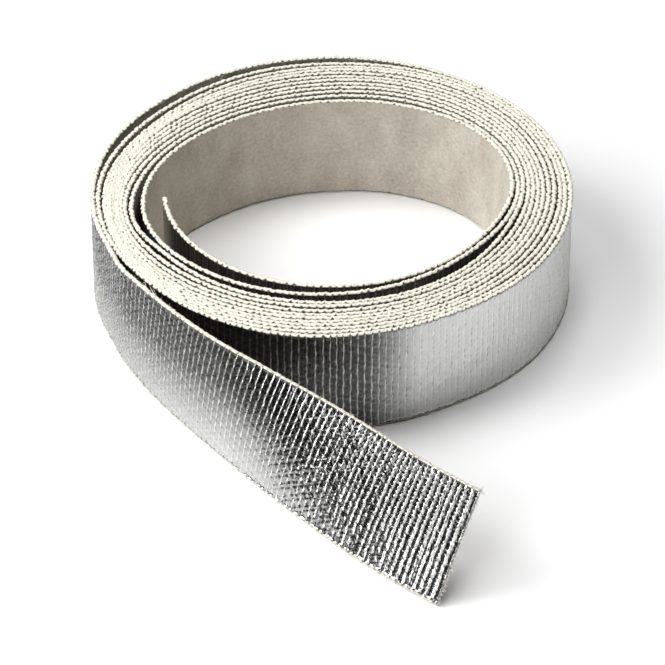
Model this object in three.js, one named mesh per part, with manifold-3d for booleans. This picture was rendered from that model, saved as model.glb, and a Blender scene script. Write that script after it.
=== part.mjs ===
// Coil of heat shield tape: one strip of aluminised woven glass tape, wound flat side in, standing on
// its edge with a few inches of free end swung out to the front.
// Millimetres. +Z is up along the coil's axis, +X to the right and -Y to the front, where the free end is.
// The wound turns are one turned ring with a ridge for each turn on both ends. The loosened turns and the
// free end are bent strips of the same tape, joined to the ring.

import * as THREE from "three";
import { mergeVertices } from "three/addons/utils/BufferGeometryUtils.js";
import Module from "manifold-3d";

// Driving dimensions

const TAPE_WIDTH = 35;
const TAPE_THICKNESS = 1.3;
const COIL_RADIUS = 73.5;

const TURNS_IN_RING = 11;
const GROOVE_DEPTH = 0.7;      // valley between two turns, on each end of the coil
const RIDGE_FLAT = 0.5;        // share of a turn's edge that is flat
const RING_SEGMENTS = 60;
const OUTER_STRIP_STEPS = 64;
const INNER_STRIP_STEPS = 34;
const SUNK = 0.004;            // share of the coil's radius that a strip is sunk into the ring it lies on

const MERGE_TOLERANCE = 1e-4;

// Shape tables: [angle in degrees from +X towards the back, share of the coil's radius]

// Outside of the whole coil
const RIM_SHARES = [[0, 1.0], [25, 1.0], [60, 0.997], [90, 0.993], [135, 0.982], [160, 0.995], [180, 1.0],
  [205, 0.998], [226, 1.0], [243, 1.004], [262, 1.012], [283, 0.995], [300, 0.978], [330, 0.996]];

// Inside of the ring of tight turns
const RING_BORE_SHARES = [[0, 0.749], [22, 0.752], [40, 0.728], [60, 0.688], [90, 0.636], [112, 0.632],
  [135, 0.654], [150, 0.690], [166, 0.735], [180, 0.764], [192, 0.790], [206, 0.803], [226, 0.797],
  [250, 0.782], [270, 0.771], [300, 0.762], [330, 0.757], [345, 0.752]];

// Clear gap under the outermost turn; where it is less than nothing, the turn is sunk into the ring
const OUTER_GAP_SHARES = [[36, -0.022], [48, -0.008], [62, 0.012], [90, 0.033], [120, 0.037], [145, 0.041],
  [165, 0.026], [182, 0.005], [192, -SUNK], [222, -SUNK]];
const SUNK_FROM_DEG = 20;      // the ring makes room for the outermost turn from here
const STRIP_FROM_DEG = 32;     // its strip starts inside the ring
const OUTER_TURN_FROM_DEG = 44;
const OUTER_TURN_TO_DEG = 204;
const OUTER_TURN_STEP_DEG = 10;
const ROOM_ENDS_DEG = [222, 240];

// Inner faces of the loose inner end and of the loosened turn behind it
const INNER_END_SHARES = [[185, 0.682], [205, 0.678], [225, 0.673], [250, 0.665], [270, 0.661], [288, 0.661],
  [305, 0.666], [322, 0.676], [337, 0.694], [350, 0.724], [361, 0.756], [370, 0.775]];
const SECOND_TURN_SHARES = [[172, 0.778], [184, 0.793], [196, 0.799], [208, 0.786], [226, 0.757],
  [248, 0.733], [270, 0.7135], [290, 0.703], [308, 0.699], [325, 0.706], [340, 0.728], [352, 0.756],
  [362, 0.779]];

// Free end: [x, y] of its outer face at the floor as shares of the coil's radius, with its lean in degrees
const FREE_END_SHARES = [
  [-0.860, -0.545, 0], [-0.806, -0.650, 2], [-0.747, -0.755, 4], [-0.683, -0.853, 5.5],
  [-0.616, -0.947, 7], [-0.547, -1.040, 9], [-0.474, -1.137, 12], [-0.402, -1.229, 16],
  [-0.270, -1.398, 23.5], [-0.130, -1.562, 29.5], [0.015, -1.726, 33], [0.148, -1.862, 34],
  [0.275, -1.976, 34], [0.396, -2.076, 33.5]];

// Helpers

const radians = (degrees) => degrees * Math.PI / 180;

// Smooth value of a closed table at any angle
function aroundTable(table, period = 360) {
  const n = table.length;
  return (degrees) => {
    const a = ((degrees - table[0][0]) % period + period) % period + table[0][0];
    let i = n - 1;
    while (i > 0 && table[i][0] > a) i -= 1;
    const at = (k) => {
      const turns = Math.floor(k / n);
      const [angle, value] = table[k - turns * n];
      return [angle + turns * period, value];
    };
    const [p0, p1, p2, p3] = [at(i - 1), at(i), at(i + 1), at(i + 2)];
    const h = p2[0] - p1[0];
    const t = (a - p1[0]) / h;
    const m1 = (p2[1] - p0[1]) / (p2[0] - p0[0]) * h;
    const m2 = (p3[1] - p1[1]) / (p3[0] - p1[0]) * h;
    return (2 * t ** 3 - 3 * t ** 2 + 1) * p1[1] + (t ** 3 - 2 * t ** 2 + t) * m1
      + (3 * t ** 2 - 2 * t ** 3) * p2[1] + (t ** 3 - t ** 2) * m2;
  };
}

const rim = aroundTable(RIM_SHARES);
const ringBore = aroundTable(RING_BORE_SHARES);

// Gap under the outermost turn; the table is open, so outside it the ring reaches the rim
function outerGap(degrees) {
  const last = OUTER_GAP_SHARES.length - 1;
  if (degrees <= OUTER_GAP_SHARES[0][0] || degrees >= OUTER_GAP_SHARES[last][0]) return null;
  let i = 0;
  while (OUTER_GAP_SHARES[i + 1][0] < degrees) i += 1;
  const [a0, g0] = OUTER_GAP_SHARES[i];
  const [a1, g1] = OUTER_GAP_SHARES[i + 1];
  const t = (degrees - a0) / (a1 - a0);
  return g0 + (g1 - g0) * t * t * (3 - 2 * t);
}

// Outside of the ring: the rim itself, or what the outermost turn leaves free under it
function ringRim(degrees) {
  const gap = outerGap(degrees);
  const outside = rim(degrees) * COIL_RADIUS;
  if (gap !== null) return outside - TAPE_THICKNESS - gap * COIL_RADIUS;
  const [fadeFrom, fadeTo] = ROOM_ENDS_DEG;
  if (degrees >= fadeFrom && degrees < fadeTo) {
    const t = (degrees - fadeFrom) / (fadeTo - fadeFrom);
    return outside - (TAPE_THICKNESS - SUNK * COIL_RADIUS) * (1 - t);
  }
  if (degrees > SUNK_FROM_DEG && degrees < fadeFrom) {
    const t = (degrees - SUNK_FROM_DEG) / (OUTER_GAP_SHARES[0][0] - SUNK_FROM_DEG);
    return outside - (TAPE_THICKNESS + OUTER_GAP_SHARES[0][1] * COIL_RADIUS) * t;
  }
  return outside;
}

const onCircle = (share, degrees) => new THREE.Vector2(
  share * COIL_RADIUS * Math.cos(radians(degrees)), share * COIL_RADIUS * Math.sin(radians(degrees)));

function closed(geometry) {
  geometry.deleteAttribute("normal");
  geometry.deleteAttribute("uv");
  return mergeVertices(geometry, MERGE_TOLERANCE);
}

// Tight turns: a ring turned with a ridge per turn, then pressed to the coil's slightly oval shape

function tightRing() {
  const pitch = 1 / TURNS_IN_RING;
  const side = (1 - RIDGE_FLAT) / 2 * pitch;
  const ridges = [];
  for (let turn = 0; turn < TURNS_IN_RING; turn += 1) {
    ridges.push([turn * pitch + side, TAPE_WIDTH], [(turn + 1) * pitch - side, TAPE_WIDTH]);
    if (turn < TURNS_IN_RING - 1) ridges.push([(turn + 1) * pitch, TAPE_WIDTH - GROOVE_DEPTH]);
  }
  const top = [[0, TAPE_WIDTH - GROOVE_DEPTH], ...ridges, [1, TAPE_WIDTH - GROOVE_DEPTH]];
  const bottom = top.map(([share, z]) => [share, TAPE_WIDTH - z]).reverse();
  const start = ringBore(0) * COIL_RADIUS;
  const profile = [...top, ...bottom, top[0]]
    .map(([share, z]) => new THREE.Vector2(start + share * (COIL_RADIUS - start), z)).reverse();
  const ring = new THREE.LatheGeometry(profile, RING_SEGMENTS);
  ring.rotateX(Math.PI / 2);
  const p = ring.attributes.position;
  for (let i = 0; i < p.count; i += 1) {
    const share = (Math.hypot(p.getX(i), p.getY(i)) - start) / (COIL_RADIUS - start);
    const raw = Math.atan2(p.getY(i), p.getX(i)) * 180 / Math.PI;
    const degrees = Math.abs(raw) < 1e-4 ? 0 : (raw + 360) % 360;
    const inside = ringBore(degrees) * COIL_RADIUS;
    const r = inside + share * (ringRim(degrees) - inside);
    p.setXYZ(i, r * Math.cos(radians(degrees)), r * Math.sin(radians(degrees)), p.getZ(i));
  }
  return closed(ring);
}

// A strip of tape bent along the path of one of its faces, its thickness to the given side of the path.
// lean is in degrees from upright, towards the same side as the thickness.

function bentStrip(points, side, steps, lean = () => 0) {
  const curve = new THREE.CatmullRomCurve3(points.map((p) => new THREE.Vector3(p.x, p.y, 0)), false,
    "centripetal");
  const strip = new THREE.BoxGeometry(1, 1, 1, steps, 1, 1);
  const p = strip.attributes.position;
  for (let i = 0; i < p.count; i += 1) {
    const along = Math.min(1, Math.max(0, p.getX(i) + 0.5));
    const at = curve.getPointAt(along);
    const tangent = curve.getTangentAt(along);
    const across = new THREE.Vector2(-tangent.y, tangent.x).normalize().multiplyScalar(side);
    const angle = radians(lean(along));
    const up = (p.getZ(i) + 0.5) * TAPE_WIDTH;
    const shift = (p.getY(i) * side + 0.5) * TAPE_THICKNESS + up * Math.sin(angle);
    p.setXYZ(i, at.x + across.x * shift, at.y + across.y * shift, up * Math.cos(angle));
  }
  return closed(strip);
}

function innerStrip(table) {
  return bentStrip(table.map(([degrees, share]) => onCircle(share, degrees)), -1, INNER_STRIP_STEPS);
}

// Outermost turn from where it comes out of the ring, round the back and on into the free end

function outerStrip() {
  const points = [];
  const leans = [];
  points.push(onCircle(rim(STRIP_FROM_DEG) + OUTER_GAP_SHARES[0][1], STRIP_FROM_DEG));
  leans.push(0);
  for (let a = OUTER_TURN_FROM_DEG; a <= OUTER_TURN_TO_DEG; a += OUTER_TURN_STEP_DEG) {
    points.push(onCircle(rim(a), a));
    leans.push(0);
  }
  for (const [x, y, lean] of FREE_END_SHARES) {
    points.push(new THREE.Vector2(x, y).multiplyScalar(COIL_RADIUS));
    leans.push(lean);
  }
  const run = [0];
  for (let i = 1; i < points.length; i += 1) run.push(run[i - 1] + points[i].distanceTo(points[i - 1]));
  const total = run[run.length - 1];
  const lean = (along) => {
    let i = 0;
    while (i < run.length - 2 && run[i + 1] < along * total) i += 1;
    const t = (along * total - run[i]) / (run[i + 1] - run[i]);
    return leans[i] + (leans[i + 1] - leans[i]) * t;
  };
  return bentStrip(points, 1, OUTER_STRIP_STEPS, lean);
}

// One solid

const wasm = await Module();
wasm.setup();

function solid(geometry) {
  return new wasm.Manifold(new wasm.Mesh({
    numProp: 3,
    vertProperties: new Float32Array(geometry.attributes.position.array),
    triVerts: new Uint32Array(geometry.index.array),
  }));
}

function geometryOf(manifold) {
  const mesh = manifold.getMesh();
  const geometry = new THREE.BufferGeometry();
  geometry.setAttribute("position", new THREE.BufferAttribute(new Float32Array(mesh.vertProperties), 3));
  geometry.setIndex(new THREE.BufferAttribute(new Uint32Array(mesh.triVerts), 1));
  geometry.computeVertexNormals();
  return geometry;
}

const tapeSolid = [outerStrip(), innerStrip(SECOND_TURN_SHARES), innerStrip(INNER_END_SHARES)]
  .reduce((whole, strip) => whole.add(solid(strip)), solid(tightRing()));

const geometry = geometryOf(tapeSolid);
geometry.computeBoundingBox();
const box = geometry.boundingBox;
geometry.translate(-(box.min.x + box.max.x) / 2, -(box.min.y + box.max.y) / 2, -box.min.z);

const tape = new THREE.Mesh(geometry, new THREE.MeshStandardMaterial({
  color: 0xb9bab6, roughness: 0.35, metalness: 0.8,
}));
tape.name = "heat_shield_tape";

const group = new THREE.Group();
group.name = "heat_shield_tape_coil";
group.add(tape);

export default group;
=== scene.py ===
"""Looks of a coil of heat shield tape: foil outside, matte backing inside, woven glass edges.

The tape is one strip. Its path is worked out turn by turn from the tables below, which are the same as the
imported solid's, and its skin is swept along that path: foil face, woven top edge, backing, woven lower edge.
"""

import math

import bpy
import numpy as np
from mathutils import Matrix, Vector


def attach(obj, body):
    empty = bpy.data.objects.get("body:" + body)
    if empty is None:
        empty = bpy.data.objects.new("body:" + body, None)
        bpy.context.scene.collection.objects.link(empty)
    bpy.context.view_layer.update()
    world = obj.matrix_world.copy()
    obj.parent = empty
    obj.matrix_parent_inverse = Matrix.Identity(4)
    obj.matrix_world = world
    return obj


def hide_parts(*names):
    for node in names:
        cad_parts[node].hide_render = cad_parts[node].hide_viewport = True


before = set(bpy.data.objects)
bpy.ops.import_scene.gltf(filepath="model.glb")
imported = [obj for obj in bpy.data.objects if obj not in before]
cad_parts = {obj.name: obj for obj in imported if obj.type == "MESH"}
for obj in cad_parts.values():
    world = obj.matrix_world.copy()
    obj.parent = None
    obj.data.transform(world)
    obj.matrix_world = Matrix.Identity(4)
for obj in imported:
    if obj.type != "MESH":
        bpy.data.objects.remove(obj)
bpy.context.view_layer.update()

# Sizes in millimetres

R = 73.5               # outside radius of the coil
W = 35.0               # width of the tape
T = 1.3                # thickness of the tape over its yarns
AXIS_Y = 39.824        # the coil's axis in the row frame
RIB = 2.13             # pitch of the cross yarns under the foil
WARP = 1.25            # pitch of the lengthwise yarns under the foil

EDGE_HALF = 0.80       # half the width of the woven edge
EDGE_NOTCH = 0.42      # how far it draws in where its weft turns back
EDGE_RISE = 0.50       # how far it stands above the faces
FIBRE_RADIUS = 0.00007  # in metres
RIM_BAND = 0.018       # share of the width at each edge that the foil leaves free

MM = 0.001
UV_UNIT = 100.0        # millimetres of tape that one unit of the texture map covers

# Shape tables: angle in degrees from +X towards the back, share of the coil's radius

RIM = [[0, 1.0], [25, 1.0], [60, 0.997], [90, 0.993], [135, 0.982], [160, 0.995], [180, 1.0],
       [205, 0.998], [226, 1.0], [243, 1.004], [262, 1.012], [283, 0.995], [300, 0.978], [330, 0.996]]

# Inner face of the first two turns, counted on from the loose inner tip at 185 degrees
INNER = [[185, 0.682], [205, 0.678], [225, 0.673], [250, 0.665], [270, 0.661], [288, 0.661], [305, 0.666],
         [322, 0.676], [337, 0.694], [350, 0.722], [362, 0.745], [382, 0.752], [400, 0.730], [420, 0.688],
         [450, 0.636], [472, 0.632], [495, 0.654], [510, 0.690], [526, 0.733], [540, 0.764], [553, 0.788],
         [564, 0.788], [576, 0.772], [590, 0.752], [610, 0.731], [630, 0.7135], [650, 0.703], [668, 0.699],
         [684, 0.705], [697, 0.724], [708, 0.748], [720, 0.768], [740, 0.774], [760, 0.752]]
# Inner face of the third turn at the front, where the second one has come away from it
THIRD = [[208, 0.803], [226, 0.797], [250, 0.782], [270, 0.771], [300, 0.762], [330, 0.757], [344, 0.762]]
# Clear gap in millimetres under the outermost turn, and under the next one
GAP_1 = [[52, 0.1], [62, 0.9], [90, 2.3], [120, 2.6], [145, 2.9], [160, 2.2], [172, 0.8], [183, 0.35],
         [195, 0.15]]
GAP_2 = [[60, 0.25], [80, 0.7], [100, 1.0], [125, 1.2], [150, 1.5], [165, 1.1], [180, 0.6], [195, 0.45],
         [206, 0.2]]

# Free end: x and y of its outer face at the floor as shares of the coil's radius, and its lean in degrees
FREE_END = [
    [-0.860, -0.545, 0], [-0.806, -0.650, 2], [-0.747, -0.755, 4], [-0.683, -0.853, 5.5],
    [-0.616, -0.947, 7], [-0.547, -1.040, 9], [-0.474, -1.137, 12], [-0.402, -1.229, 16],
    [-0.270, -1.398, 23.5], [-0.130, -1.562, 29.5], [0.015, -1.726, 33], [0.148, -1.862, 34],
    [0.275, -1.976, 34], [0.396, -2.076, 33.5]]
LEAVES_AT = 204

# The tables below run by the distance in millimetres back from the free end.
# Half the bow across the tape's width, in degrees
BOW = [[0, 3], [30, 6], [55, 9], [85, 10], [115, 8], [150, 4], [185, 0]]
# How the weave shows in the foil: rounding of the ribs, their height, the height of the cells between them,
# and how much the foil is crumpled
STYLE = np.array([
    [0, 1.0, 0.23, 0.10, 0.5], [30, 1.0, 0.22, 0.11, 0.7], [45, 0.8, 0.19, 0.10, 1.2],
    [62, 0.25, 0.14, 0.07, 1.2], [78, 0.0, 0.15, 0.03, 0.4], [100, 0.0, 0.14, 0.03, 0.4],
    [118, 0.1, 0.13, 0.10, 1.2],
    [140, 0.3, 0.17, 0.16, 1.2], [160, 0.5, 0.27, 0.17, 1.0], [215, 0.6, 0.34, 0.14, 0.8],
    [300, 0.5, 0.22, 0.08, 0.5], [360, 0.5, 0.18, 0.07, 0.4], [425, 0.4, 0.20, 0.07, 0.4],
    [455, 0.3, 0.14, 0.07, 0.5], [475, 0.1, 0.12, 0.06, 0.6], [512, 0.1, 0.12, 0.07, 0.6],
    [522, 0.0, 0.15, 0.10, 0.6], [545, 0.0, 0.14, 0.10, 0.6], [560, 0.2, 0.09, 0.08, 0.4],
    [600, 0.4, 0.10, 0.06, 0.3]])
# How dark the foil is painted between its ridges, a painted dark reflection that differs along the tape
PAINTED_DARK_REFLECTION = [[0, 1.0], [240, 1.0], [300, 0.6], [360, 0.5], [425, 0.32], [470, 0.20], [505, 0.28], [522, 1.0],
        [545, 1.0], [600, 0.8]]
# The share of that painted dark reflection that is left at the tape's lower edge, so the lower part is
# painted lighter
LOW_EDGE_PAINTED_DARK_SHARE = [[0, 0.85], [30, 0.75], [60, 0.5], [90, 0.25], [150, 0.35], [200, 0.5], [260, 0.6]]
# How strong the painted shade in the hollows of the top edge is
TOP_EDGE_PAINTED_SHADE = [[0, 0.5], [170, 0.5], [230, 1]]
# Loose threads on the top edge: distance, length, and how far they lie back
THREADS = [[131, 3.4, 0.9], [127, 4.2, 1.1], [150, 2.2, 0.3]]
# How much of the free end has small folds
FOLDED_PART = 130
# Places of the columns within one rib
RIB_SPOTS = {
    10: np.array([-0.5, -0.36, -0.24, -0.15, -0.075, 0.0, 0.075, 0.15, 0.24, 0.36]),
    7: np.array([-0.43, -0.25, -0.11, 0.0, 0.11, 0.25, 0.43]),
    6: np.arange(6) / 6.0 - 0.5}

TURNS = 12
FIRST, LAST = 185.0, LEAVES_AT + 360.0 * TURNS
STEP = 3.0             # degrees between two points of the coil's path
ROW_STEP = 0.12        # millimetres between two rows of the finished path
ROUNDED_OVER = 22      # how many of those rows its corners are rounded over
TABLES_END = 762       # where the inner turns' table stops
# Weights of what the path should do: follow a table, keep a gap, bend smoothly, spread the turns evenly
FOLLOW, KEEP_GAP_1, KEEP_GAP_2, SMOOTH, EVEN, EVEN_WHERE_LOOSE = 8, 5, 3, 12, 1.6, 0.15


def lookup(table, x, period=None):
    """Value of a table at x, between its rows, or round and round if it has a period."""
    xs, ys = [p[0] for p in table], [p[1] for p in table]
    if period:
        xs = [xs[-1] - period] + xs + [xs[0] + period]
        ys = [ys[-1]] + ys + [ys[0]]
        x = np.mod(np.asarray(x, float) - xs[1], period) + xs[1]
    return np.interp(x, xs, ys)


def waves(x, scale, seed, octaves=3):
    """Smooth noise of about -1 to 1 along x, with features about scale long."""
    rng = np.random.default_rng(seed)
    total = np.zeros_like(np.asarray(x, float))
    for k in range(octaves * 3):
        f = (1.0 + 0.9 * k * rng.uniform(0.5, 1.0)) / scale
        total += math.exp(-0.22 * k) * np.sin(2 * np.pi * (x * f + rng.uniform()))
    return total / 2.2


def coil_radii():
    """Radius of the outer face at every STEP degrees from the inner tip to where the free end leaves."""
    phi = np.arange(FIRST, LAST + 0.01, STEP)
    n, lap = len(phi), int(round(360 / STEP))
    rows, cols, vals, right = [], [], [], []

    def add(terms, target, weight):
        r = len(right)
        for i, c in terms:
            rows.append(r), cols.append(i), vals.append(c * weight)
        right.append(target * weight)

    theta = np.mod(phi, 360)
    uneven = waves(phi, 300, 5) * 0.35 * np.clip((np.abs(theta - 195) - 20) / 30, 0, 1)
    for i, p in enumerate(phi):
        if p <= TABLES_END:
            add([(i, 1)], lookup(INNER, p) * R + T, FOLLOW)
        third = p - 720
        if THIRD[0][0] <= third <= THIRD[-1][0]:
            add([(i, 1)], lookup(THIRD, third) * R + T, FOLLOW)
        if p >= LAST - 360:
            at = p - (LAST - 360) + LEAVES_AT
            under = np.clip((240 - at) / 18, 0, 1) * (T + 0.1)
            add([(i, 1)], float(lookup(RIM, at, 360)) * R - under, FOLLOW)
        if i + lap < n:
            at = theta[i]
            if p > LAST - 520 and GAP_1[0][0] <= at <= GAP_1[-1][0]:
                add([(i, -1), (i + lap, 1)], T + lookup(GAP_1, at), KEEP_GAP_1)
            if LAST - 880 < p < LAST - 700 and GAP_2[0][0] <= at <= GAP_2[-1][0]:
                add([(i, -1), (i + lap, 1)], T + lookup(GAP_2, at), KEEP_GAP_2)
        if 0 < i < n - 1:
            add([(i - 1, 1), (i, -2), (i + 1, 1)], 0, SMOOTH)
        if lap <= i < n - lap:
            loose = (THIRD[0][0] < p - 360 < THIRD[-1][0]) or (THIRD[0][0] < p - 720 < THIRD[-1][0]) \
                or (p > LAST - 720 and 50 < theta[i] < 206) or (p > LAST - 1080 and 58 < theta[i] < 206)
            add([(i - lap, 1), (i, -2), (i + lap, 1)], uneven[i], EVEN_WHERE_LOOSE if loose else EVEN)
    a = np.zeros((n, n))
    b = np.zeros(n)
    rows, cols, vals, right = map(np.array, (rows, cols, vals, right))
    order = np.argsort(rows, kind="stable")
    starts = np.searchsorted(rows[order], np.arange(len(right) + 1))
    for r in range(len(right)):
        k = order[starts[r]:starts[r + 1]]
        c, v = cols[k], vals[k]
        a[np.ix_(c, c)] += np.outer(v, v)
        b[c] += v * right[r]
    return phi, np.linalg.solve(a, b)


def spline(points, per_piece=24):
    """Catmull-Rom points through rows of values."""
    p = np.asarray(points, float)
    p = np.vstack([2 * p[0] - p[1], p, 2 * p[-1] - p[-2]])
    t = np.linspace(0, 1, per_piece, endpoint=False)[:, None]
    out = []
    for i in range(1, len(p) - 2):
        p0, p1, p2, p3 = p[i - 1:i + 3]
        out.append(0.5 * (2 * p1 + (p2 - p0) * t + (2 * p0 - 5 * p1 + 4 * p2 - p3) * t ** 2
                          + (3 * p1 - p0 - 3 * p2 + p3) * t ** 3))
    out.append(p[-2][None])
    return np.vstack(out)


def smoothed(values, sigma):
    """Values averaged over their neighbours, carried on straight past both ends."""
    k = int(sigma * 4)
    kernel = np.exp(-0.5 * (np.arange(-k, k + 1) / sigma) ** 2)
    kernel /= kernel.sum()
    head = 2 * values[0] - values[1:k + 1][::-1]
    tail = 2 * values[-1] - values[-k - 1:-1][::-1]
    full = np.concatenate([head, values, tail])
    return np.convolve(full, kernel, mode="valid")


def tape_path():
    """Evenly spaced rows along the tape: x, y of the outer face at the floor, and its lean in radians."""
    phi, radius = coil_radii()
    a = np.radians(phi)
    coil = np.stack([radius * np.cos(a), radius * np.sin(a), np.zeros_like(a)], 1)
    end = np.array(FREE_END, float) * [R, R, 1]
    dense = spline(np.vstack([coil, end]))
    run = np.concatenate([[0], np.cumsum(np.hypot(*np.diff(dense[:, :2], axis=0).T))])
    even = np.arange(0, run[-1], ROW_STEP)
    cols = [smoothed(np.interp(even, run, dense[:, k]), ROUNDED_OVER) for k in range(3)]
    run = np.concatenate([[0], np.cumsum(np.hypot(np.diff(cols[0]), np.diff(cols[1])))])
    return run, np.stack([cols[0], cols[1], np.radians(cols[2])], 1)


RUN, PATH = tape_path()
LENGTH = float(RUN[-1])
print("tape length mm", round(LENGTH, 1))
TANGENT = np.gradient(PATH[:, :2], RUN, axis=0)
TANGENT /= np.linalg.norm(TANGENT, axis=1)[:, None]


def along(s, values):
    """Values of the path's rows at distances s."""
    return np.interp(s.ravel(), RUN, values).reshape(s.shape)


def place(s, depth, height):
    """Points in metres at distances s, depth in from the outer face and height up from the floor edge."""
    tx, ty = along(s, TANGENT[:, 0]), along(s, TANGENT[:, 1])
    size = np.hypot(tx, ty)
    tx, ty = tx / size, ty / size
    bow = np.radians(lookup(BOW, LENGTH - s))
    foot = along(s, PATH[:, 2]) - bow
    rate = np.where(bow < 1e-4, 1e-4, 2 * bow) / W
    tilt = foot + rate * height
    across = (np.cos(foot) - np.cos(tilt)) / rate + depth * np.cos(tilt)
    z = (np.sin(tilt) - np.sin(foot)) / rate + (T - depth) * np.sin(tilt)
    x = along(s, PATH[:, 0]) - ty * across
    y = along(s, PATH[:, 1]) + tx * across
    return np.stack([x * MM, (y + AXIS_Y) * MM, z * MM], -1)


# Relief of the foil over the weave. e is the distance back from the free end in millimetres.

def rib_place(u, h):
    """Distance along the tape of rib number u at height h; the ribs are not quite straight."""
    sway = 0.13 * waves(h + 1.7 * u, 11.0, 21, 2) + 0.07 * waves(h + 7.3 * u, 4.5, 22, 2)
    return RIB * u + sway * np.clip(np.minimum(h, W - h) / 3.0 + 0.3, 0, 1) + 0.35 * waves(u, 19.0, 23, 2)


def ribs_of(u, s, h):
    """Depth of the foil below the ridges that the cross yarns raise in it, in millimetres."""
    rounded, amount = (lookup(STYLE[:, [0, k]], LENGTH - s) for k in (1, 2))
    p = u - np.round(u)
    vary = 1 + 0.35 * waves(u + 0.02 * h, 3.3, 61, 2)
    thin = 1 - np.exp(-(p * RIB / 0.17) ** 2)
    soft = 0.5 - 0.5 * np.cos(2 * np.pi * p)
    return amount * vary * (thin * (1 - rounded) + soft * rounded)


def painted_ridge_highlight(u, s, h):
    """How strongly a ridge is painted with a bright line, a painted highlight: 1 on a high one, 0 between
    two.
    """
    amount = lookup(STYLE[:, [0, 2]], LENGTH - s)
    p = u - np.round(u)
    broken = np.clip(0.75 + 0.5 * waves(h + 31.7 * np.round(u), 7.0, 67, 2), 0, 1)
    return np.exp(-(p * RIB / 0.20) ** 2) * broken * np.clip(amount / 0.15, 0, 1) ** 1.5


def painted_ridge_shade(u, h):
    """Painted shade: dark dashes along the far side of each ridge."""
    p = u - np.round(u)
    dashes = np.clip(0.15 + 1.0 * waves(1.5 * h + 13.1 * np.round(u), 3.0, 69, 2), 0, 1)
    return np.exp(-((p * RIB - 0.33) / 0.20) ** 2) * dashes


def relief(u, s, h):
    """Depth of the whole foil surface: ribs, cells of the weave between them, slack and small folds."""
    e = LENGTH - s
    pillow, crush = (lookup(STYLE[:, [0, k]], e) for k in (3, 4))
    p = u - np.round(u)
    ribs = ribs_of(u, s, h)
    row = h / WARP + 0.5 * np.floor(u + 0.5) + 0.25 * waves(u, 9.0, 62, 2)
    cells = pillow * (0.5 - 0.5 * np.cos(2 * np.pi * row)) * np.clip(1.4 * np.cos(np.pi * p), 0, 1)
    flow = 0.035 * waves(s * 0.8 + h * 0.9, 21.0, 63, 2) + 0.03 * waves(h * 1.1 - s * 0.45, 13.0, 64, 2)
    rough = crush * (waves(s * 0.9 + 0.8 * h, 3.1, 65, 2) + waves(s * 0.7 - 1.1 * h, 2.3, 66, 2)) * 0.06
    depth = ribs + cells + flow + rough
    if e.min() < FOLDED_PART:
        for ce, ch, ca, cl, cw, cd in CREASES:
            dx, dy = e - ce, h - ch
            t = dx * math.cos(ca) + dy * math.sin(ca)
            off = -dx * math.sin(ca) + dy * math.cos(ca) + 0.25 * np.sin(t * 0.9 + ce)
            ends = np.clip(1 - (2 * t / cl) ** 2, 0, 1)
            depth = depth + cd * ends * np.exp(-(off / cw) ** 2)
    return depth


def creases():
    """Small folds round where the free end was bent: e, height, angle, length, width, depth of each."""
    rng = np.random.default_rng(8)
    out = []
    for _ in range(34):
        a = rng.uniform(-1.1, 0.5)
        reach = rng.uniform(3, 26)
        out.append([60 - reach * math.cos(a) * 0.9, 13 - reach * math.sin(a) * 0.75,
                    a + rng.normal(0, 0.15), rng.uniform(4, 11), rng.uniform(0.25, 0.5),
                    rng.choice([-1, 1]) * rng.uniform(0.05, 0.12)])
    for _ in range(26):
        out.append([rng.uniform(60, 128), rng.uniform(6, 33), rng.uniform(0.5, 1.2), rng.uniform(2, 4.5),
                    rng.uniform(0.2, 0.35), rng.choice([-1, 1]) * rng.uniform(0.04, 0.09)])
    return out


CREASES = creases()


# Skin of the tape

def edge_arc(u, n, seed):
    """Depth and rise of n points over the woven edge, and how much painted shade each one gets in the hollows
    of the weave and where the edge meets the faces.
    """
    u = u[:, None]
    side = np.cos(np.linspace(0.0, np.pi, n))[None, :]
    crown = np.clip(1 - side ** 2, 0, 1) ** 0.38
    strength = 0.72 + 0.55 * waves(u, 5.3, seed, 2)
    lag = 0.20 * waves(u, 7.0, seed + 1, 2)

    def notch(shift):
        p = u + lag + shift
        return np.exp(-((p - np.round(p)) / 0.16) ** 2) * strength

    left, right = notch(0.0), notch(0.5)
    half = EDGE_HALF - EDGE_NOTCH * np.where(side > 0, left, right)
    sway = 0.14 * waves(u, 2.9, seed + 2, 2) + 0.07 * np.sin(2 * np.pi * (u + lag))
    depth = T / 2 + sway - half * side
    twist = 0.25 * np.cos(4 * np.pi * (u + lag) + 2 * side)
    rise = crown * EDGE_RISE * (1 + 0.22 * waves(u, 1.6, seed + 3, 2) + twist)
    low = np.abs(side) ** 3
    # Painted shade: darker where the weft turns back and towards the sides where the edge meets the faces
    painted_shading = np.clip(1.15 * np.where(side > 0, left, right) * np.abs(side) ** 2 + 0.35 * low ** 3, 0, 1)
    return depth, rise - EDGE_RISE, painted_shading


def rows_of(count):
    """Heights of the rows over one face as shares of its width, with a close row next to each edge."""
    inner = np.linspace(2.4 * RIM_BAND, 1 - 2.4 * RIM_BAND, count - 2)
    return np.concatenate([[RIM_BAND], inner, [1 - RIM_BAND]])


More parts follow.
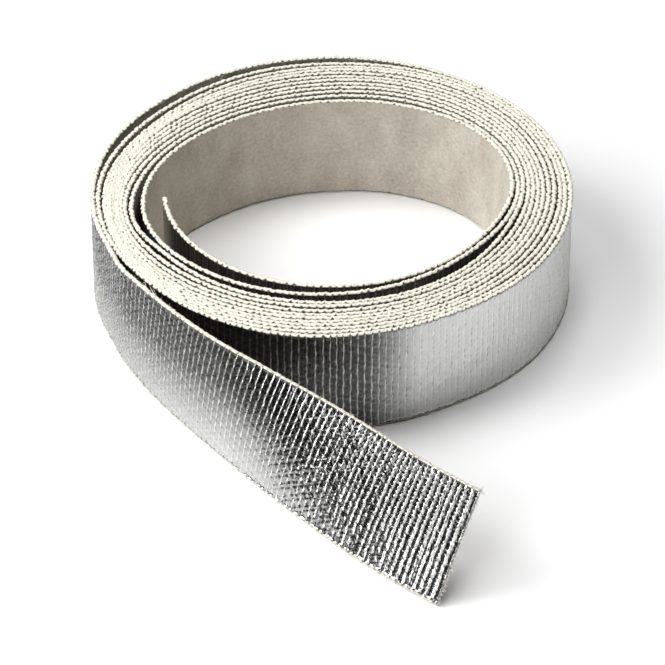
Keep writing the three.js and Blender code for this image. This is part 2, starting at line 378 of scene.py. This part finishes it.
def tape_skin(name, u0, u1, per_rib, face_rows, top_points, low_points, back_rows, close_start=False,
              close_end=False):
    """One stretch of the tape from rib u0 to rib u1, as a tube with columns along its ribs.

    Round the tube lie the foil, the woven top edge, the backing and the woven lower edge.
    """
    spots = RIB_SPOTS[per_rib]
    whole = np.arange(math.floor(u0), math.ceil(u1) + 1)
    u = (whole[:, None] + spots[None, :]).ravel()
    u = np.unique(np.concatenate([[u0], u[(u > u0 + 0.02) & (u < u1 - 0.02)], [u1]]))
    count = len(u)
    tall = W - 0.30 * (0.5 + 0.5 * waves(u * RIB, 240.0, 31)) - 0.08 * (0.5 + 0.5 * waves(u * RIB, 24.0, 32))
    parts = []
    h = rows_of(face_rows)[None, :] * tall[:, None]
    s = rib_place(u[:, None], h)
    inset = np.minimum(h, tall[:, None] - h) / 1.4
    across_u = u[:, None] + 0 * h
    detailed = face_rows > 6
    depth = relief(across_u, s, h) * (0.3 + 0.7 * np.clip(inset, 0, 1)) if detailed else 0.05 + 0 * h
    e = LENGTH - s
    # Painted light on the foil: a painted dark reflection between the ridges by region with some random tone,
    # painted lighter towards the lower edge, with a painted highlight on the ridges and painted shade beside
    # them
    fade = np.clip((330 - e) / 60, 0, 1)
    low = lookup(LOW_EDGE_PAINTED_DARK_SHARE, e)
    painted_dark = lookup(PAINTED_DARK_REFLECTION, e) * (1 - fade * (1 - low) * np.clip(1.15 - 1.75 * h / W, 0, 1)
                              + 0.12 * waves(s * 0.7 + 2.3 * h, 6.0, 68, 3))
    foil_painted_shading = (1 - painted_ridge_highlight(across_u, s, h)) * np.clip(painted_dark, 0, 1)
    foil_painted_shading = np.clip(foil_painted_shading + 0.42 * painted_ridge_shade(across_u, h), 0, 1)
    parts.append((s, np.clip(depth, -0.12, 0.6), h, foil_painted_shading, 0))
    # The top edge carries painted shade in its hollows
    d, rise, painted_shading = edge_arc(u, top_points, 41)
    h = tall[:, None] + rise
    s = rib_place(u[:, None], h)
    parts.append((s, d, h, painted_shading * lookup(TOP_EDGE_PAINTED_SHADE, LENGTH - s), 1))
    h = rows_of(back_rows)[::-1][None, :] * tall[:, None]
    dent = 0.02 * np.clip(waves(u, 5.0, 51, 2) - 0.3, 0, 1)[:, None]
    parts.append((rib_place(u[:, None], h), T - 0.05 - dent + 0 * h, h, 0 * h, 2))
    # The lower edge carries painted shade in its hollows
    d, rise, painted_shading = edge_arc(u + 0.5, low_points, 42)
    parts.append((rib_place(u[:, None], -rise), d[:, ::-1], -rise, painted_shading[:, ::-1], 1))

    s, depth, height, painted_shading = (np.concatenate([p[k] for p in parts], 1) for k in range(4))
    kind = np.concatenate([np.full(p[0].shape[1], p[4]) for p in parts])
    n = len(kind)
    co = place(s, depth, height)
    i = np.arange(count - 1)[:, None]
    j = np.arange(n)[None, :]
    jn = (j + 1) % n
    quads = np.stack([i * n + j, (i + 1) * n + j, (i + 1) * n + jn, i * n + jn], 2).reshape(-1, 4)
    band = np.where((kind[j] == 1) | (kind[jn] == 1), 1, kind[j])
    faces = [(quads, np.broadcast_to(band, (count - 1, n)).ravel())]
    if close_start:
        faces.append((np.arange(n)[None, :], [1]))
    if close_end:
        faces.append((((count - 1) * n + np.arange(n)[::-1])[None, :], [1]))
    return make_mesh(name, co.reshape(-1, 3), faces, s.ravel(), height.ravel(), painted_shading.ravel())


def make_mesh(name, co, faces, run, height, painted_shading):
    """Smooth mesh from points, lists of faces with their material numbers, and three values per point."""
    loops = np.concatenate([f.ravel() for f, _ in faces])
    totals = np.concatenate([np.full(len(f), f.shape[1]) for f, _ in faces])
    mesh = bpy.data.meshes.new(name)
    mesh.vertices.add(len(co))
    mesh.vertices.foreach_set("co", co.astype(np.float32).ravel())
    mesh.loops.add(len(loops))
    mesh.loops.foreach_set("vertex_index", loops.astype(np.int32))
    mesh.polygons.add(len(totals))
    mesh.polygons.foreach_set("loop_start", (np.cumsum(totals) - totals).astype(np.int32))
    mesh.polygons.foreach_set("loop_total", totals.astype(np.int32))
    mesh.polygons.foreach_set("material_index", np.concatenate([m for _, m in faces]).astype(np.int32))
    mesh.polygons.foreach_set("use_smooth", np.ones(len(totals), bool))
    uv = mesh.uv_layers.new(name="UVMap")
    spots = np.stack([run[loops] / UV_UNIT, height[loops] / UV_UNIT], 1)
    uv.data.foreach_set("uv", spots.astype(np.float32).ravel())
    # Per-point value of painted light and shade, read by the foil and edge materials
    shade = mesh.attributes.new("painted_shading", "FLOAT", "POINT")
    shade.data.foreach_set("value", painted_shading.astype(np.float32))
    mesh.update()
    mesh.validate()
    obj = bpy.data.objects.new(name, mesh)
    bpy.context.scene.collection.objects.link(obj)
    return obj


def fibres(name, paths, radius):
    """Thin round fibres along the given paths of points in metres."""
    sides = 5
    ring = np.linspace(0, 2 * np.pi, sides, endpoint=False)
    co, faces, base = [], [], 0
    for path in paths:
        path = np.asarray(path)
        t = np.gradient(path, axis=0)
        t /= np.linalg.norm(t, axis=1)[:, None]
        a = np.cross(t, [0.31, 0.17, 0.93])
        a /= np.linalg.norm(a, axis=1)[:, None]
        b = np.cross(t, a)
        r = radius * np.linspace(1, 0.55, len(path))[:, None, None]
        co.append((path[:, None] + r * (a[:, None] * np.cos(ring)[None, :, None]
                                        + b[:, None] * np.sin(ring)[None, :, None])).reshape(-1, 3))
        i = np.arange(len(path) - 1)[:, None]
        j = np.arange(sides)[None, :]
        k = (j + 1) % sides
        faces.append(base + np.stack([i * sides + j, (i + 1) * sides + j, (i + 1) * sides + k, i * sides + k],
                                     2).reshape(-1, 4))
        base += len(path) * sides
    co = np.concatenate(co)
    quads = np.concatenate(faces)
    zero = np.zeros(len(co))
    return make_mesh(name, co, [(quads, np.zeros(len(quads), int))], zero, zero, zero)


def curl(start, way, length, bend, points=7):
    """Path of one fibre that leaves start in the direction way and bends towards bend."""
    start, way, bend = (np.asarray(v, float) for v in (start, way, bend))
    t = np.linspace(0, 1, points)[:, None]
    return start + (way / np.linalg.norm(way)) * t * length + bend * t ** 2


def loose_fibres():
    """Cut yarn ends, the frayed corner, and stray threads along the top edges."""
    rng = np.random.default_rng(12)
    paths = []
    end = np.array([LENGTH])
    out = place(end, np.zeros(1), np.zeros(1)) - place(end - 1.0, np.zeros(1), np.zeros(1))
    out = out[0] / np.linalg.norm(out[0])
    rise = place(end, np.zeros(1), np.full(1, W))[0] - place(end, np.zeros(1), np.zeros(1))[0]
    rise /= np.linalg.norm(rise)
    through = np.cross(rise, out)
    # the cut warp ends
    for yarn in range(28):
        h = (yarn + 0.5) * W / 28
        for _ in range(9):
            at = place(end - 0.25, np.array([rng.uniform(0.2, 1.1)]), np.array([h + rng.normal(0, 0.22)]))[0]
            way = out + rng.normal(0, 0.30) * rise + rng.normal(0, 0.25) * through
            paths.append(curl(at, way, rng.uniform(0.4, 1.5) * MM, rng.normal(0, 0.25, 3) * MM, 5))
    # the frayed top corner
    for _ in range(26):
        at = place(end - rng.uniform(0.2, 3.0), np.array([rng.uniform(0.2, 1.1)]),
                   np.array([W - rng.uniform(0.2, 1.6)]))[0]
        way = out * rng.uniform(0.2, 1.0) + rise * rng.uniform(0.0, 0.9) + rng.normal(0, 0.35) * through
        paths.append(curl(at, way, rng.uniform(1.0, 3.2) * MM, rng.normal(0, 0.6, 3) * MM))
    # threads that stand off the top edges
    for e, length, lean in THREADS:
        s = np.array([LENGTH - e])
        at = place(s, np.array([0.5]), np.array([W - 0.3]))[0]
        ahead = place(s + 1, np.array([0.5]), np.array([W - 0.3]))[0] - at
        for k in range(3):
            way = -ahead / np.linalg.norm(ahead) * lean + np.array([0, 0, 1.0]) + rng.normal(0, 0.08, 3)
            paths.append(curl(at + rng.normal(0, 0.12, 3) * MM, way, length * rng.uniform(0.8, 1.0) * MM,
                              rng.normal(0, 0.3, 3) * MM))
    for _ in range(190):
        s = np.array([LENGTH - rng.uniform(0, 1) ** 1.6 * 1500])
        at = place(s, np.array([rng.uniform(0.1, 1.2)]), np.array([W - 0.35]))[0]
        way = np.array([rng.normal(0, 1), rng.normal(0, 1), rng.uniform(0.2, 0.9)])
        paths.append(curl(at, way, rng.uniform(0.5, 1.2) * MM, rng.normal(0, 0.3, 3) * MM, 5))
    return fibres("tape_loose_fibres", paths, FIBRE_RADIUS)


# Materials

def shader(name):
    """New material with only a principled shader, its node tree and that shader."""
    m = bpy.data.materials.new(name)
    m.use_nodes = True
    nt = m.node_tree
    nt.nodes.clear()
    out = nt.nodes.new("ShaderNodeOutputMaterial")
    p = nt.nodes.new("ShaderNodeBsdfPrincipled")
    nt.links.new(p.outputs["BSDF"], out.inputs["Surface"])
    return m, nt, p


def math_node(nt, op, a, b=None, c=None):
    n = nt.nodes.new("ShaderNodeMath")
    n.operation = op
    for k, v in enumerate((a, b, c)):
        if v is None:
            continue
        if isinstance(v, bpy.types.NodeSocket):
            nt.links.new(v, n.inputs[k])
        else:
            n.inputs[k].default_value = v
    return n.outputs[0]


def uv_scaled(nt, sx, sy):
    """Texture map of the strip, along it and across it."""
    uv = nt.nodes.new("ShaderNodeUVMap")
    uv.uv_map = "UVMap"
    mp = nt.nodes.new("ShaderNodeMapping")
    mp.inputs["Scale"].default_value = (sx, sy, 1)
    nt.links.new(uv.outputs["UV"], mp.inputs["Vector"])
    return mp.outputs["Vector"]


def noise(nt, vector, scale, detail=2.0, rough=0.5):
    n = nt.nodes.new("ShaderNodeTexNoise")
    nt.links.new(vector, n.inputs["Vector"])
    n.inputs["Scale"].default_value = scale
    n.inputs["Detail"].default_value = detail
    n.inputs["Roughness"].default_value = rough
    return n.outputs["Fac"]


def bump(nt, p, height, strength, distance):
    b = nt.nodes.new("ShaderNodeBump")
    b.inputs["Strength"].default_value = strength
    b.inputs["Distance"].default_value = distance
    nt.links.new(height, b.inputs["Height"])
    nt.links.new(b.outputs["Normal"], p.inputs["Normal"])


def blend(nt, fac, a, b):
    mix = nt.nodes.new("ShaderNodeMix")
    mix.data_type = "RGBA"
    for key, value in (("A", a), ("B", b)):
        if isinstance(value, bpy.types.NodeSocket):
            nt.links.new(value, mix.inputs[key])
        else:
            mix.inputs[key].default_value = (*value, 1)
    nt.links.new(fac, mix.inputs["Factor"])
    return mix.outputs["Result"]


def painted_shading_of(nt):
    """The value each point carries for its painted light and shade: painted shade in the hollows of the woven
    edges, and on the foil a painted dark reflection between the ridges and a painted highlight on them.
    """
    n = nt.nodes.new("ShaderNodeAttribute")
    n.attribute_name = "painted_shading"
    return n.outputs["Fac"]


def foil_material():
    m, nt, p = shader("tape_foil")
    mm = uv_scaled(nt, UV_UNIT, UV_UNIT)
    p.inputs["Metallic"].default_value = 1.0
    broad = noise(nt, mm, 0.13, 3.0, 0.55)
    fine = noise(nt, mm, 1.3, 3.0, 0.6)
    tone = math_node(nt, "MULTIPLY_ADD", fine, 0.6, math_node(nt, "MULTIPLY", broad, 0.4))
    # Painted light: the bright ridge colour is a painted highlight and the near-black panel colour is a
    # painted dark reflection
    panel = blend(nt, tone, (0.02, 0.02, 0.02), (0.18, 0.18, 0.175))
    ridge = blend(nt, tone, (0.70, 0.70, 0.69), (0.86, 0.86, 0.85))
    nt.links.new(blend(nt, painted_shading_of(nt), ridge, panel), p.inputs["Base Color"])
    rough = math_node(nt, "MULTIPLY_ADD", fine, 0.10, 0.09)
    rough = math_node(nt, "MULTIPLY_ADD", broad, 0.06, rough)
    nt.links.new(rough, p.inputs["Roughness"])
    bump(nt, p, noise(nt, mm, 1.1, 4.0, 0.6), 0.6, 0.00012)
    return m


def glass_material():
    m, nt, p = shader("tape_glass_edge")
    grey = noise(nt, uv_scaled(nt, UV_UNIT, UV_UNIT), 0.35, 2.0, 0.5)
    cream = blend(nt, grey, (0.84, 0.815, 0.73), (0.68, 0.65, 0.55))
    # Painted shade: the cream turns near-black in the hollows of the weave
    nt.links.new(blend(nt, painted_shading_of(nt), cream, (0.07, 0.06, 0.045)), p.inputs["Base Color"])
    p.inputs["Roughness"].default_value = 0.6
    p.inputs["Sheen Weight"].default_value = 0.2
    strands = noise(nt, uv_scaled(nt, 160, 500), 2.0, 3.0, 0.6)
    bump(nt, p, strands, 0.45, 0.0001)
    return m


def backing_material():
    m, nt, p = shader("tape_backing")
    mm = uv_scaled(nt, UV_UNIT, UV_UNIT)
    grain = noise(nt, mm, 0.9, 4.0, 0.7)
    patch = noise(nt, uv_scaled(nt, UV_UNIT, 0.6 * UV_UNIT), 0.10, 3.0, 0.6)
    tone = math_node(nt, "MULTIPLY_ADD", grain, 0.55, math_node(nt, "MULTIPLY", patch, 0.45))
    tone = math_node(nt, "MULTIPLY_ADD", tone, 2.6, -0.8)
    nt.links.new(blend(nt, tone, (0.36, 0.315, 0.27), (0.66, 0.63, 0.55)), p.inputs["Base Color"])
    p.inputs["Roughness"].default_value = 0.75
    bump(nt, p, grain, 0.35, 0.00012)
    return m


def fibre_material():
    m, nt, p = shader("tape_loose_fibre")
    tone = noise(nt, uv_scaled(nt, UV_UNIT, UV_UNIT), 1.0)
    nt.links.new(blend(nt, tone, (0.62, 0.61, 0.58), (0.86, 0.85, 0.82)), p.inputs["Base Color"])
    p.inputs["Roughness"].default_value = 0.5
    return m


FOIL, GLASS, BACKING, FIBRE = foil_material(), glass_material(), backing_material(), fibre_material()

# Numbers of the ribs where one stretch of skin ends and the next begins
LAST_RIB = LENGTH / RIB
OUTER_FROM, OUTER_MIDDLE, FREE_FROM = (round((LENGTH - e) / RIB) for e in (640.0, 400.0, 172.0))
inner_cuts = [round(k * OUTER_FROM / 3) for k in range(4)]
inner_cuts[0] = 0.0

skins = []
for k in range(3):
    skins.append(tape_skin(f"tape_turns_{k + 1}", inner_cuts[k], inner_cuts[k + 1], per_rib=6, face_rows=4,
                           top_points=8, low_points=3, back_rows=5, close_start=k == 0))
skins.append(tape_skin("tape_outer_turn_1", OUTER_FROM, OUTER_MIDDLE, per_rib=10, face_rows=54, top_points=9,
                       low_points=5, back_rows=5, close_start=True, close_end=True))
skins.append(tape_skin("tape_outer_turn_2", OUTER_MIDDLE, FREE_FROM, per_rib=7, face_rows=44, top_points=9,
                       low_points=5, back_rows=5, close_start=True, close_end=True))
skins.append(tape_skin("tape_free_end", FREE_FROM, LAST_RIB, per_rib=10, face_rows=91, top_points=11,
                       low_points=7, back_rows=6, close_end=True))
lengths = np.diff([0, *inner_cuts[1:], OUTER_MIDDLE, FREE_FROM, LAST_RIB]) * RIB * MM
print("triangles", [sum(len(p.vertices) - 2 for p in o.data.polygons) for o in skins])

for obj, length in zip(skins, lengths):
    for m in (FOIL, GLASS, BACKING):
        obj.data.materials.append(m)
    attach(obj, "root")
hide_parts("heat_shield_tape")
fuzz = loose_fibres()
fuzz.data.materials.append(FIBRE)
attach(fuzz, "root")

# Floor, light and camera

# The pale floor: half its width and depth, how much it widens per metre to the back, how square its corners
# are, and where the fade to the darker floor ends, as a multiple of its size
PALE_X, PALE_Y, PALE_FLARE, PALE_CORNER, PALE_FADE = 0.111, 0.30, 0.10, 5.0, 1.9


def floor_material():
    """Pale floor that falls off to a darker one outside the picture."""
    m, nt, p = shader("floor_pale")
    xyz = nt.nodes.new("ShaderNodeSeparateXYZ")
    nt.links.new(nt.nodes.new("ShaderNodeTexCoord").outputs["Object"], xyz.inputs[0])
    limit = math_node(nt, "MULTIPLY_ADD", xyz.outputs["Y"], PALE_FLARE, PALE_X)
    across = math_node(nt, "DIVIDE", math_node(nt, "ABSOLUTE", xyz.outputs["X"]), limit)
    deep = math_node(nt, "DIVIDE", math_node(nt, "ABSOLUTE", xyz.outputs["Y"]), PALE_Y)
    across, deep = (math_node(nt, "POWER", v, PALE_CORNER) for v in (across, deep))
    ramp = nt.nodes.new("ShaderNodeMapRange")
    ramp.interpolation_type = "SMOOTHSTEP"
    ramp.inputs["From Min"].default_value = 1.0
    ramp.inputs["From Max"].default_value = PALE_FADE
    reach = math_node(nt, "POWER", math_node(nt, "ADD", across, deep), 1 / PALE_CORNER)
    nt.links.new(reach, ramp.inputs["Value"])
    colour = blend(nt, ramp.outputs["Result"], (0.93, 0.93, 0.93), (0.34, 0.34, 0.34))
    nt.links.new(colour, p.inputs["Base Color"])
    p.inputs["Roughness"].default_value = 0.9
    return m


bpy.ops.mesh.primitive_plane_add(size=2.4, location=(0.005, 0.05, -0.0003))
floor = bpy.context.object
floor.name = "floor"
floor.data.materials.append(floor_material())


def softbox(name, location, target, width, height, power):
    """Rectangular area light that faces its target; sizes in metres, power in watts."""
    data = bpy.data.lights.new(name, "AREA")
    data.shape = "RECTANGLE"
    data.size, data.size_y = width, height
    data.energy = power
    obj = bpy.data.objects.new(name, data)
    obj.location = location
    way = Vector(target) - Vector(location)
    obj.rotation_mode = "QUATERNION"
    obj.rotation_quaternion = way.to_track_quat("-Z", "Y")
    bpy.context.scene.collection.objects.link(obj)


softbox("left", (-1.00, 0.06, 0.92), (0, 0, 0), 0.95, 0.95, 13.5)
softbox("low_front", (-0.33, -0.50, 0.23), (0, 0, 0), 0.34, 0.42, 2.2)
softbox("top", (0.12, 0.22, 1.00), (0, 0.02, 0), 0.7, 0.6, 6.0)

world = bpy.data.worlds.new("studio")
bpy.context.scene.world = world
world.use_nodes = True
world.node_tree.nodes["Background"].inputs["Color"].default_value = (0.5, 0.5, 0.5, 1)
world.node_tree.nodes["Background"].inputs["Strength"].default_value = 0.06

# Camera that matches the picture: a long lens in front of the coil, looking down at its axis
CAMERA_RISE = 0.642207847
CAMERA_DISTANCE = 16.8675730 * R * MM
FORWARD = Vector((0.000246434902, 0.792789476, -0.609495518)).normalized()
RIGHT = Vector((0.99999997, -0.000195371, 0.000150201)).normalized()
SENSOR, FOCAL_PIXELS, PICTURE_PIXELS = 36, 4000, 665

cam_data = bpy.data.cameras.new("camera")
cam_data.sensor_width = SENSOR
cam_data.lens = FOCAL_PIXELS / PICTURE_PIXELS * SENSOR
cam_data.clip_start, cam_data.clip_end = 0.05, 20
cam = bpy.data.objects.new("camera", cam_data)
pose = Matrix((RIGHT, RIGHT.cross(FORWARD).normalized(), -FORWARD)).transposed().to_4x4()
pose.translation = Vector((0, AXIS_Y * MM - CAMERA_DISTANCE * math.cos(CAMERA_RISE),
                           CAMERA_DISTANCE * math.sin(CAMERA_RISE)))
cam.matrix_world = pose
bpy.context.scene.collection.objects.link(cam)
bpy.context.scene.camera = cam
bpy.context.scene.view_settings.view_transform = "Standard"
bpy.context.scene.view_settings.look = "Medium High Contrast"
